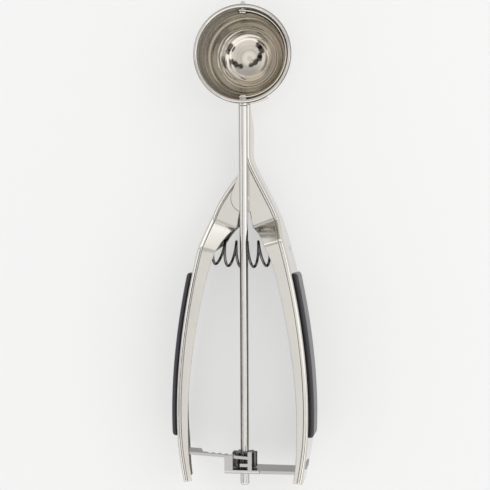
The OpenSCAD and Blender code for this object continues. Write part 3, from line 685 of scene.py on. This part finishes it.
def channel(wall, edge, front, back, lip=99.0, score=0.0):
    """One ring of the folded sheet, from the outer wall to the flanges' free edges.

    r and s are the outer radii of the front and the back bend, which are smaller where a flange
    is short, and ri and si the inner ones. e, be and ie are the widths of the eased edges.
    """
    wall, edge = Vector(wall), Vector(edge)
    width = (edge - wall).length
    away = (edge - wall) / width
    short = min(width, lip)
    r = min(bend_r, 0.6 * width, 0.45 * (front - back))
    s = min(bend_r, 0.6 * short, 0.45 * (front - back))
    ri, si = max(r - sheet, 0.1), max(s - sheet, 0.1)
    e = edge_r
    ci, di = sheet + ri, sheet + si

    def bend(cx, cz, radius, start, end):
        turns = [math.radians(mix(start, end, i / bend_steps)) for i in range(bend_steps + 1)]
        return [(cx + radius * math.cos(turn), cz + radius * math.sin(turn)) for turn in turns]

    outer = [(width, front - e), (width - 0.3 * e, front - 0.3 * e), (width - e, front)]
    groove = [(0.62, 0), (0.46, 0.5), (0.3, 1), (0.14, 0.5), (0.02, 0)]
    span = min(1.0, (width - e - r) / 0.7)
    outer += [(r + w * span, front - d * score) for w, d in groove]
    outer += bend(r, front - r, r, 90, 180) + bend(s, back + s, s, 180, 270)
    be = min(e, 0.4 * (short - s))
    outer += [(short - be, back), (short - 0.3 * be, back + 0.3 * be), (short, back + be)]
    ie = min(be, 0.4 * (short - di)) if short > di else 0
    inner = [(short, back + sheet - ie), (short - 0.3 * ie, back + sheet - 0.3 * ie)]
    inner += [(short - ie, back + sheet)]
    inner += bend(di, back + di, si, 270, 180) + bend(ci, front - ci, ri, 180, 90)
    inner += [(max(ci, r) + w * span, front - sheet) for w, d in reversed(groove)]
    inner += [(width - e, front - sheet), (width - 0.3 * e, front - sheet + 0.3 * e)]
    inner += [(width, front - sheet + e)]
    return [at(*(wall + away * w), z) for w, z in outer + inner]


# Strips are numbered along a ring, from the front flange's edge round the outside and back.
scored_line, inside_wall, free_edge = range(4, 6), range(30, 45), (0, 1, 51, 52, 53)
ear_rings = range(55, 95)


# The strips that take the dark finish: painted shade on the scored line and on the channel's inside
# walls. On the ears the free edges are drawn dark as well.
def shade_painted_strips(ring, strip):
    return strip in scored_line or strip in inside_wall


def shade_painted_ear_strips(ring, strip):
    return shade_painted_strips(ring, strip) or (strip in free_edge and ring in ear_rings)


def sheet_caps(size):
    """Faces that close a sheet's end. Its ring goes out on one side and back on the other."""
    return [(i, i + 1, size - 2 - i, size - 1 - i) for i in range(size // 2 - 1)]


print("points in a ring:", len(channel((0, 0), (10, 0), 0, -10)))

# %% [markdown]
# Above the fork the two arms differ. The fixed arm carries the neck, the moving arm's ears slip
# inside the fixed arm's, and both ears are round where the rivet passes. `ear_edge` follows that
# free edge: down the neck, round the rivet and on to the fork.

# %% The arms' upper ends
ear_r = 6.0
ear_gap = 0.15
ear_from, ear_to = 162, 292
neck_taper = 10.5
saddle_drop = 5.5
ear_back = -handle_back
crease_end = wall_at(0) + flange_fork * inward(0)
fork_lead = (4.2, 10.5)
fixed_upper = [(neck_half, -flare_y), (neck_half, -flare_y - 4),
               (fork_half - fork_lead[0], -fork_y + fork_lead[1]), (fork_half, -fork_y)]
moving_top = (0.4, -pivot_y + 13.5)
moving_upper = [moving_top, (moving_top[0] + 3.6, moving_top[1] - 5),
                (fork_half - fork_lead[0], -fork_y + fork_lead[1]), (fork_half, -fork_y)]


def ear_point(angle):
    turn = math.radians(angle)
    return Vector((ear_r * math.cos(turn), -pivot_y + ear_r * math.sin(turn)))


def ear_edge(start, t):
    first, second = Vector(start[0]), Vector(start[1])
    if t < 0.2:
        return first.lerp(second, t / 0.2)
    if t < 0.4:
        return second.lerp(ear_point(ear_from), (t - 0.2) / 0.2)
    if t < 0.85:
        return ear_point(mix(ear_from, ear_to, (t - 0.4) / 0.45))
    return ear_point(ear_to).lerp(crease_end, (t - 0.85) / 0.15)


def upper_rings(curve, start, front, back, ramp):
    rings = []
    for i in range(upper_steps):
        t = i / upper_steps
        wall = Vector(bezier(curve, t))
        rise = rounded_ramp((-wall.y - fork_y) / ramp)
        rings.append(channel(wall, ear_edge(start, t), mix(front, handle_front, rise), back,
                             score=score_depth * ease(t / 0.25)))
    return rings


ramp_places = [wall_u(fork_y + ramp_reach * i / ramp_steps) for i in range(ramp_steps + 1)]
lower_places = [mix(ramp_places[-1], 2, i / handle_steps) for i in range(1, handle_steps + 1)]
handle_places = ramp_places + lower_places


def handle_rings(front, back, ramp):
    rings = []
    for u in handle_places:
        wall = wall_at(u)
        rise = rounded_ramp((-wall.y - fork_y) / ramp)
        rings.append(channel(wall, wall + flange_at(u) * inward(u), mix(front, handle_front, rise),
                             mix(back, back_at(u), min(1, rise)), lip_at(u), score_depth))
    return rings


print("places along a handle:", len(handle_places))


# %% Arms
def neck_back(y):
    return mix(-saddle_drop, ear_back, ease((y - neck_start) / neck_taper))


neck_places = [mix(neck_start, flare_y, i / neck_steps) for i in range(neck_steps)]
neck_rings = [channel((neck_half, -y), (-neck_half, -y), neck_front, neck_back(y))
              for y in neck_places]
fixed_edge = [(-neck_half, -flare_y), (-neck_half, -flare_y - 7.5)]
fixed_rings = neck_rings + upper_rings(fixed_upper, fixed_edge, neck_front, ear_back, fixed_ramp)
fixed_rings += handle_rings(neck_front, ear_back, fixed_ramp)
fixed_arm = loft("fixed_arm_shell", fixed_rings, sheet_caps(len(fixed_rings[0])), arm_steel,
                 painted_shade_steel, shade_painted_ear_strips)
stands_for(fixed_arm, "fixed_arm", "root")

inner_front = neck_front - sheet - ear_gap
inner_back = ear_back + sheet + ear_gap
moving_edge = [(moving_top[0] - 1.5, moving_top[1] - drop) for drop in (0.8, 3.4)]
moving_rings = upper_rings(moving_upper, moving_edge, inner_front, inner_back, moving_ramp)
moving_rings += handle_rings(inner_front, inner_back, moving_ramp)
moving_rings = [[Vector((-p.x, p.y, p.z)) for p in ring] for ring in moving_rings]
moving_arm = loft("moving_arm_shell", moving_rings, sheet_caps(len(moving_rings[0])), arm_steel,
                  painted_shade_steel, shade_painted_strips)
stands_for(moving_arm, "moving_arm", "moving_side")
print("arm rings:", len(fixed_rings), len(moving_rings))

# %% [markdown]
# ## Rod and round fittings
# The rod, its cap, the rivets and the washers are turned pieces. The rod's and the cap's profiles
# are softened at their corners, because a perfectly sharp edge never shines.

# %% Rod
blade_w, blade_t, blade_gap = 8.5, 0.5, 0.3
blade_out = math.sqrt((bowl_in_r - blade_gap) ** 2 - (blade_w / 2) ** 2)
eye_in = blade_out - blade_t
tip_len, tip_r, collar_r, journal_r, tail_r = 0.6, 1.6, 2.0, 1.3, 1.2
pinion_low = 172.86
cap_start, cap_len = 174.76, 5.7
rod_start = 21.56
rod_r = 1.75
cap_r = 1.8
down = (0, -1, 0)
tail_end = cap_start + 2
rod_profile = soften([(eye_in - tip_len, 0), (eye_in - tip_len, tip_r), (eye_in, collar_r),
                      (eye_in, journal_r), (rod_start, journal_r), (rod_start, rod_r),
                      (pinion_low, rod_r), (pinion_low, tail_r), (tail_end, tail_r),
                      (tail_end, 0)], 0.15)
rod = lathe("rod_shaft", at(0, 0, 0), down, rod_profile, rod_steel, segments=64)
stands_for(rod, "rod", "wiper")
cap_profile = soften([(cap_start, 0), (cap_start, cap_r), (cap_start + cap_len - 0.5, cap_r),
                      (cap_start + cap_len, cap_r - 0.5), (cap_start + cap_len, 0)], 0.3)
cap = lathe("rod_cap", at(0, 0, 0), down, cap_profile, rod_steel, segments=64)
stands_for(cap, "rod_end_cap", "wiper")
print("rod and cap, mm across:", 2 * rod_r, 2 * cap_r)

# %% [markdown]
# The pivot rivet is countersunk into both ears. A face that lies exactly in the sheet's own plane
# would flicker with it, so each head has a low dome that stands just proud of the sheet.

# %% Pivot rivet
rivet_r, sink_r, rivet_len, dome = 1.5, 2.0, handle_back + neck_front, 0.14
rivet_head = [(-dome, 0), (-0.8 * dome, 0.5 * sink_r), (-0.4 * dome, 0.85 * sink_r), (0.03, sink_r),
              (sheet, rivet_r)]
rivet_profile = rivet_head + [(rivet_len - along, radius) for along, radius in reversed(rivet_head)]
rivet = lathe("rivet_turned", at(0, -pivot_y, -handle_back), (0, 0, 1), rivet_profile, rod_steel,
              segments=48)
stands_for(rivet, "pivot_rivet", "root")
print("rivet, mm across and long:", 2 * rivet_r, round(rivet_len, 1))

# %% [markdown]
# ## Wiper blade
# The blade is a strip bent to a half ring and narrowed to an eye at each end. It is drawn as a
# grid of points: one direction goes round the ring, the other across the strip, and the edges are
# eased over a small radius so that they shine like rolled spring steel.

# %% Wiper blade
eye_w = 4.8
eye_steps, round_steps = 12, 120
blade_rest = 8.0
blade_edge = 0.14
taper_r = (blade_out ** 2 + ((blade_w - eye_w) / 2) ** 2) / (blade_w - eye_w)
eye_r = eye_w / 2


def blade_half(angle):
    """Half the strip's width at an angle from the middle of the ring, in degrees."""
    y = blade_out * math.sin(math.radians(angle))
    if abs(angle) <= 90:
        return math.sqrt(taper_r ** 2 - y ** 2) - (taper_r - blade_w / 2)
    past = blade_out * math.cos(math.radians(angle))
    return math.sqrt(max(0.0, eye_r ** 2 - past ** 2))


def blade_point(angle, across, depth):
    radius = blade_out - depth
    x = radius * math.cos(math.radians(angle))
    y = radius * math.sin(math.radians(angle))
    if abs(angle) > 90:
        y = math.copysign(radius, angle)
    rest = math.radians(blade_rest)
    level = x * math.cos(rest) + across * math.sin(rest)
    return at(level, y, across * math.cos(rest) - x * math.sin(rest))


def blade_ring(angle):
    half = blade_half(angle)
    e = min(blade_edge, half * 0.5)
    outline = []
    for depth, inset in ((0, e), (0.3 * e, 0.3 * e), (e, 0)):
        outline.append((half - inset, depth))
    outline += [(half, blade_t - e), (half - 0.3 * e, blade_t - 0.3 * e), (half - e, blade_t)]
    across = [(-w, d) for w, d in reversed(outline)]
    return [blade_point(angle, w, d) for w, d in outline + across]


eye_turn = math.degrees(math.asin(0.97 * eye_r / blade_out))
eye_angles = [-90 - eye_turn * (1 - (i / eye_steps) ** 2) for i in range(eye_steps)]
blade_angles = eye_angles + [mix(-90, 90, i / round_steps) for i in range(round_steps + 1)]
blade_angles += [-angle for angle in reversed(eye_angles)]
blade_rings = [blade_ring(angle) for angle in blade_angles]
blade = loft("blade_strip", blade_rings, sheet_caps(len(blade_rings[0])), rod_steel)
stands_for(blade, "wiper_blade", "wiper")
print("blade rings:", len(blade_rings))

# %% [markdown]
# ## Grips
# Each grip is a soft pad with a squarish section and blunt ends. Its ring is a rounded rectangle
# that follows the arm's wall, and both its edges and its ends are rounded. Three studs hold it
# through the wall, and they show inside the handle as small domes.

# %% Grips
grip_t, grip_w = 2.2, 15.0
grip_y, grip_len = 91.26, 68.0
grip_inset = 1.9
grip_z = handle_front - grip_inset - grip_w / 2
grip_gap = 0.06
grip_round, grip_corner = 1.6, 0.4
end_steps, pad_steps = 8, 60
stud_r = 1.4


def grip_ring(d, k):
    u = wall_u(grip_y + d)
    wall, normal = wall_at(u), inward(u)
    half = grip_w / 2 * (0.9 + 0.1 * k)
    thick = grip_t * k
    shoulder = 0.86 * thick
    section = [(0, -half), (shoulder, -half), (thick, -half + 0.9), (thick, 0),
               (thick, half - 0.9), (shoulder, half), (0, half)]
    rounded = soften(section, grip_corner)
    return [at(*(wall - normal * max(h, grip_gap)), grip_z + z) for h, z in rounded]


def grip_rings():
    """Rings from end to end of a pad, which swell from half to full thickness at both ends."""
    turns = [math.pi / 2 * i / end_steps for i in range(end_steps + 1)]
    ends = [(grip_round * (1 - math.cos(turn)), 0.5 + 0.5 * math.sin(turn)) for turn in turns]
    rings = [grip_ring(d, k) for d, k in ends]
    rings += [grip_ring(mix(grip_round, grip_len - grip_round, i / pad_steps), 1)
              for i in range(1, pad_steps)]
    return rings + [grip_ring(grip_len - d, k) for d, k in reversed(ends)]


def fan(size):
    return [tuple(range(size))]


def stud(u, side, material):
    wall, normal = wall_at(u), inward(u)
    start = at(*wall, grip_z)
    direction = Vector((normal.x, normal.y, 0))
    if side < 0:
        start.x, direction.x = -start.x, -direction.x
    head = sheet + 0.03
    profile = soften([(-1.0, 0), (-1.0, stud_r), (head, stud_r), (head, stud_r + 0.9),
                      (sheet + 1.0, stud_r + 0.2), (sheet + 1.23, 0)], 0.25)
    return lathe("grip_stud", start, direction, profile, material, segments=32)


def make_grip(name, node, body, side):
    rings = grip_rings()
    if side < 0:
        rings = [[Vector((-p.x, p.y, p.z)) for p in ring] for ring in rings]
    pad = loft(name, rings, fan(len(rings[0])), rubber)
    studs = [stud(wall_u(grip_y + grip_len * k / 6), side, rubber) for k in (1, 3, 5)]
    with bpy.context.temp_override(active_object=pad, selected_editable_objects=[pad] + studs,
                                   selected_objects=[pad] + studs):
        bpy.ops.object.join()
    return stands_for(pad, node, body)


make_grip("fixed_grip_pad", "fixed_grip", "root", 1)
make_grip("moving_grip_pad", "moving_grip", "moving_side", -1)
print("grips, mm:", grip_len, "by", grip_w)

# %% [markdown]
# ## Spring
# The spring is a wire that winds round an arc between the two arms. A short node tree does it:
# a curve line is resampled, each point is moved onto the winding by its place along the wire, and
# a round profile is swept along. Wire, curls and pitch are named inputs.

# %% The spring's sizes
coil_r, wire_d, coils = 5.3, 1.15, 8
spring_phase = math.radians(200)
seat_drop, seat_t, behind_web = 13.2, 0.3, 0.25
seat_u = wall_u(fork_y + seat_drop)
spring_z = neck_front - coil_r - wire_d / 2 - behind_web
seat_normal = inward(seat_u)
lean = -math.asin(seat_normal.y)
spring_start = wall_at(seat_u) + (sheet + seat_t + wire_d / 2) * seat_normal
arc_r = spring_start.x / math.sin(lean)
arc_y = spring_start.y + arc_r * math.cos(lean)
end_pitch = wire_d + 0.55
steps_per_coil, wire_sides = 40, 20
print("spring between its seats, mm:", round(2 * arc_r * lean, 1))


# %% A node tree with named inputs
def group_socket(group, name, kind, value=None, out=False):
    socket = group.interface.new_socket(name, in_out="OUTPUT" if out else "INPUT", socket_type=kind)
    if value is not None:
        socket.default_value = value
    return socket


def set_modifier(modifier, **values):
    for item in modifier.node_group.interface.items_tree:
        key = item.name.replace(" ", "_")
        if getattr(item, "in_out", "") == "INPUT" and key in values:
            modifier[item.identifier] = values[key]


tree = bpy.data.node_groups.new("wound_spring", "GeometryNodeTree")
group_socket(tree, "Geometry", "NodeSocketGeometry", out=True)
for name, value in (("coil radius", coil_r), ("wire diameter", wire_d), ("coils", float(coils)),
                    ("arc radius", arc_r), ("lean", lean), ("end pitch", end_pitch),
                    ("phase", spring_phase), ("arc y", arc_y), ("spring z", spring_z)):
    group_socket(tree, name, "NodeSocketFloat", value)
group_socket(tree, "material", "NodeSocketMaterial")
inputs = add_node(tree, "NodeGroupInput").outputs
print("named inputs:", len(tree.interface.items_tree) - 1)

# %% [markdown]
# How far along the arc a point lies depends on its turn. The first and the last coil are closed
# curls with a small pitch, and the coils between them share the rest of the length.

# %% Travel along the arc
factor = add_node(tree, "GeometryNodeSplineParameter").outputs["Factor"]
turns = calc(tree, "MULTIPLY", factor, inputs["coils"])
length = calc(tree, "MULTIPLY", calc(tree, "MULTIPLY", inputs["arc radius"], inputs["lean"]), 2.0)
inner_coils = calc(tree, "SUBTRACT", inputs["coils"], 2.0)
both_curls = calc(tree, "MULTIPLY", inputs["end pitch"], 2.0)
inner_pitch = calc(tree, "DIVIDE", calc(tree, "SUBTRACT", length, both_curls), inner_coils)
first_curl = calc(tree, "MULTIPLY", calc(tree, "MINIMUM", turns, 1.0), inputs["end pitch"])
last_from = calc(tree, "ADD", inner_coils, 1.0)
last_turns = calc(tree, "MAXIMUM", calc(tree, "SUBTRACT", turns, last_from), 0.0)
last_curl = calc(tree, "MULTIPLY", last_turns, inputs["end pitch"])
after_first = calc(tree, "MAXIMUM", calc(tree, "SUBTRACT", turns, 1.0), 0.0)
open_turns = calc(tree, "MINIMUM", after_first, inner_coils)
open_part = calc(tree, "MULTIPLY", open_turns, inner_pitch)
travel = calc(tree, "ADD", calc(tree, "ADD", first_curl, last_curl), open_part)
print("nodes so far:", len(tree.nodes))

# %% Winding
angle = calc(tree, "SUBTRACT", inputs["lean"], calc(tree, "DIVIDE", travel, inputs["arc radius"]))
winding = calc(tree, "ADD", calc(tree, "MULTIPLY", turns, math.tau), inputs["phase"])
sideways_out = calc(tree, "MULTIPLY", inputs["coil radius"], calc(tree, "COSINE", winding))
from_centre = calc(tree, "ADD", inputs["arc radius"], sideways_out)
upwards = calc(tree, "MULTIPLY", inputs["coil radius"], calc(tree, "SINE", winding))
wire_x = calc(tree, "MULTIPLY", from_centre, calc(tree, "SINE", angle))
below_arc = calc(tree, "MULTIPLY", from_centre, calc(tree, "COSINE", angle))
wire_y = calc(tree, "SUBTRACT", inputs["arc y"], below_arc)
wire_z = calc(tree, "ADD", inputs["spring z"], upwards)
place = add_node(tree, "ShaderNodeCombineXYZ")
for socket, value in zip(place.inputs, (wire_x, wire_y, wire_z)):
    tree.links.new(value, socket)
print("nodes so far:", len(tree.nodes))


# %% Wire along the winding
def chain(node, before, socket=0):
    """Links a geometry node after another and hands back its output."""
    tree.links.new(before, node.inputs[socket])
    return node.outputs[0]


line = add_node(tree, "GeometryNodeCurvePrimitiveLine")
line.inputs["End"].default_value = (1, 0, 0)
points = add_node(tree, "GeometryNodeResampleCurve")
points.inputs["Count"].default_value = coils * steps_per_coil + 1
wind = add_node(tree, "GeometryNodeSetPosition")
tree.links.new(place.outputs[0], wind.inputs["Position"])
profile = add_node(tree, "GeometryNodeCurvePrimitiveCircle")
profile.inputs["Resolution"].default_value = wire_sides
tree.links.new(calc(tree, "MULTIPLY", inputs["wire diameter"], 0.5), profile.inputs["Radius"])
sweep = add_node(tree, "GeometryNodeCurveToMesh")
sweep.inputs["Fill Caps"].default_value = True
tree.links.new(profile.outputs["Curve"], sweep.inputs["Profile Curve"])
to_frame = add_node(tree, "GeometryNodeTransform")
set_inputs(to_frame, Scale=(MM, MM, MM), Translation=at(0, 0, 0))
paint = add_node(tree, "GeometryNodeSetMaterial")
tree.links.new(inputs["material"], paint.inputs["Material"])

made = chain(points, line.outputs[0], "Curve")
made = chain(wind, made, "Geometry")
made = chain(sweep, made, "Curve")
made = chain(to_frame, made, "Geometry")
made = chain(add_node(tree, "GeometryNodeSetShadeSmooth"), made, "Geometry")
made = chain(add_node(tree, "GeometryNodeRealizeInstances"), made)
made = chain(paint, made, "Geometry")
tree.links.new(made, add_node(tree, "NodeGroupOutput").inputs[0])
print("nodes in the spring's tree:", len(tree.nodes))

# %% Spring
holder = bpy.data.objects.new("spring_holder", bpy.data.meshes.new("spring_holder"))
bpy.context.scene.collection.objects.link(holder)
modifier = holder.modifiers.new("wind", "NODES")
modifier.node_group = tree
set_modifier(modifier, material=painted_shade_wire_steel)
bpy.context.view_layer.update()
evaluated = holder.evaluated_get(bpy.context.evaluated_depsgraph_get())
wire_mesh = bpy.data.meshes.new_from_object(evaluated)
bpy.data.objects.remove(holder)
spring = bpy.data.objects.new("spring_wire_coil", wire_mesh)
bpy.context.scene.collection.objects.link(spring)
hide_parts("return_spring")
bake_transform(spring)
print("spring faces:", len(wire_mesh.polygons))

# %% [markdown]
# ## Stamped and turned fittings
# The saddle, bush, pin, washers, seats, rivets and the gear train already have their true shapes
# in the construction. Stamped and turned steel has broken edges, so each gets a copy whose loose
# triangles are merged to clean faces and whose sharp edges are eased by a narrow bevel.

# %% A clean copy
eased_edge, sharp_angle, flat_angle = 0.12, 35, 1


def finished_copy(node, material):
    """A copy of a construction node with clean faces and small rounded edges."""
    mesh = frame["nodes"][node].data.copy()
    mesh.name = node + "_finish"
    shape = bmesh.new()
    shape.from_mesh(mesh)
    bmesh.ops.remove_doubles(shape, verts=shape.verts, dist=2e-6)
    bmesh.ops.dissolve_limit(shape, angle_limit=math.radians(flat_angle), verts=shape.verts,
                             edges=shape.edges)
    shape.to_mesh(mesh)
    shape.free()
    mesh.polygons.foreach_set("use_smooth", [True] * len(mesh.polygons))
    mesh.materials.clear()
    mesh.materials.append(material)
    piece = bpy.data.objects.new(mesh.name, mesh)
    bpy.context.scene.collection.objects.link(piece)
    edge = piece.modifiers.new("edge", "BEVEL")
    edge.width = eased_edge * MM
    edge.segments = 2
    edge.limit_method = "ANGLE"
    edge.angle_limit = math.radians(sharp_angle)
    return even_shading(piece)


# %% Fittings
for node, body, slot_name, material in (
        ("bowl_saddle", "root", "polished_steel", arm_steel),
        ("rod_bush", "root", "polished_steel", rod_steel),
        ("far_pivot_pin", "root", "polished_steel", rod_steel),
        ("pivot_washer", "root", "gear_steel", gear_steel),
        ("fixed_spring_seat", "root", "gear_steel", gear_steel),
        ("moving_spring_seat", "moving_side", "gear_steel", gear_steel),
        ("pinion", "wiper", "gear_steel", pinion_shade_steel),
        ("thrust_washer", "root", "gear_steel", gear_steel),
        ("gear_carrier", "root", "gear_steel", gear_steel),
        ("carrier_rivets", "root", "gear_steel", gear_steel),
        ("rack", "moving_side", "gear_steel", gear_steel),
        ("rack_rivets", "moving_side", "gear_steel", gear_steel)):
    fitting = stands_for(finished_copy(node, material), node, body)
    print(node, "faces:", len(fitting.data.polygons))
